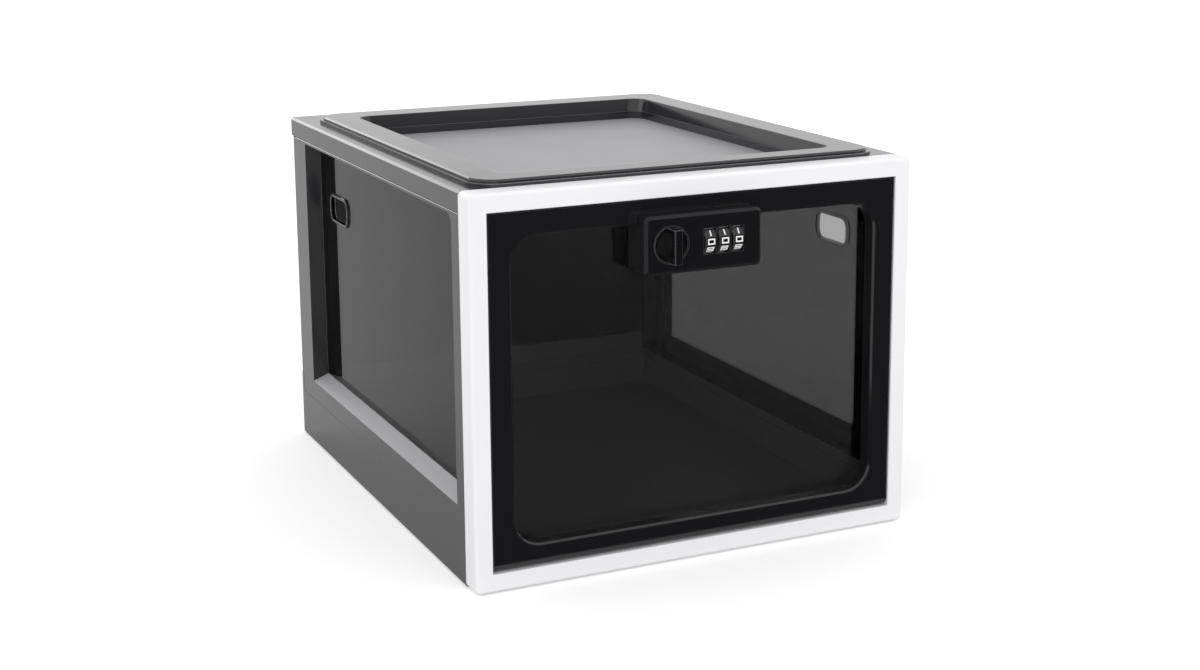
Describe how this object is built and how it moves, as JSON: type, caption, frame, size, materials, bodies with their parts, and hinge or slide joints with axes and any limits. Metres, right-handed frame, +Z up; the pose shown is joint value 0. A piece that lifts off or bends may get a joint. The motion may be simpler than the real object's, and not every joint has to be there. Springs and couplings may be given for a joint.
{
  "type": "combination lock storage box",
  "caption": "Lockable storage box with a drop-down front door, smoked windows, cable holes, a tray in the lid and a combination cam lock.",
  "frame": {"origin": "on the standing surface, midway across the box and midway between the grip of the lock's knob and the back of the lid", "axes": "+Z up, +Y from the door to the rear panel, +X to the right as seen from the front"},
  "size_m": [0.26, 0.337, 0.2135],
  "materials": {
    "white_plastic": "satin moulded",
    "black_plastic": "gloss moulded",
    "door_plastic": "gloss moulded",
    "smoked_window": "clear smoked, polished",
    "lock_plastic": "fine moulded",
    "wheel_plastic": "moulded, white numbers",
    "lever_plastic": "moulded",
    "steel": "zinc plated",
    "brass": "turned",
    "rubber": "matte"
  },
  "bodies": {
    "case": {"front_frame": "white_plastic", "strike_plate": "steel", "base_tray": "black_plastic", "rubber_feet": "rubber", "left_side_panel": "black_plastic", "left_side_window": "smoked_window", "right_side_panel": "black_plastic", "right_side_window": "smoked_window", "rear_panel": "black_plastic", "lid": "black_plastic"},
    "door": {"door_panel": "door_plastic", "door_window": "smoked_window", "hinge_pins": "steel", "lock_housing": "lock_plastic", "lock_back_cover": "lock_plastic", "lock_screws": "steel", "wheel_axle": "steel", "detent_spring": "steel"},
    "knob": {"lock_knob": "lock_plastic", "lock_spindle": "lock_plastic", "lock_cam": "steel", "cam_screw": "steel"},
    "wheel_1": {"number_wheel_1": "wheel_plastic", "code_sleeve_1": "brass"},
    "wheel_2": {"number_wheel_2": "wheel_plastic", "code_sleeve_2": "brass"},
    "wheel_3": {"number_wheel_3": "wheel_plastic", "code_sleeve_3": "brass"},
    "lever": {"code_lever": "lever_plastic"}
  },
  "joints": [
    {"name": "door_hinge", "type": "hinge", "parent": "case", "child": "door", "pos_m": [0, -0.1446, 0.0157], "axis": [1, 0, 0], "range_deg": [0, 86.5]},
    {"name": "knob_turn", "type": "hinge", "parent": "door", "child": "knob", "pos_m": [-0.0226, -0.15, 0.1769], "axis": [0, -1, 0], "range_deg": [0, 90]},
    {"name": "wheel_1_turn", "type": "hinge", "parent": "door", "child": "wheel_1", "pos_m": [-0.0003, -0.1547, 0.1769], "axis": [1, 0, 0], "continuous": true},
    {"name": "wheel_2_turn", "type": "hinge", "parent": "door", "child": "wheel_2", "pos_m": [0.0079, -0.1547, 0.1769], "axis": [1, 0, 0], "continuous": true},
    {"name": "wheel_3_turn", "type": "hinge", "parent": "door", "child": "wheel_3", "pos_m": [0.0161, -0.1547, 0.1769], "axis": [1, 0, 0], "continuous": true},
    {"name": "lever_turn", "type": "hinge", "parent": "door", "child": "lever", "pos_m": [0.0161, -0.1364, 0.1769], "axis": [0, 1, 0], "range_deg": [0, 90]}
  ]
}
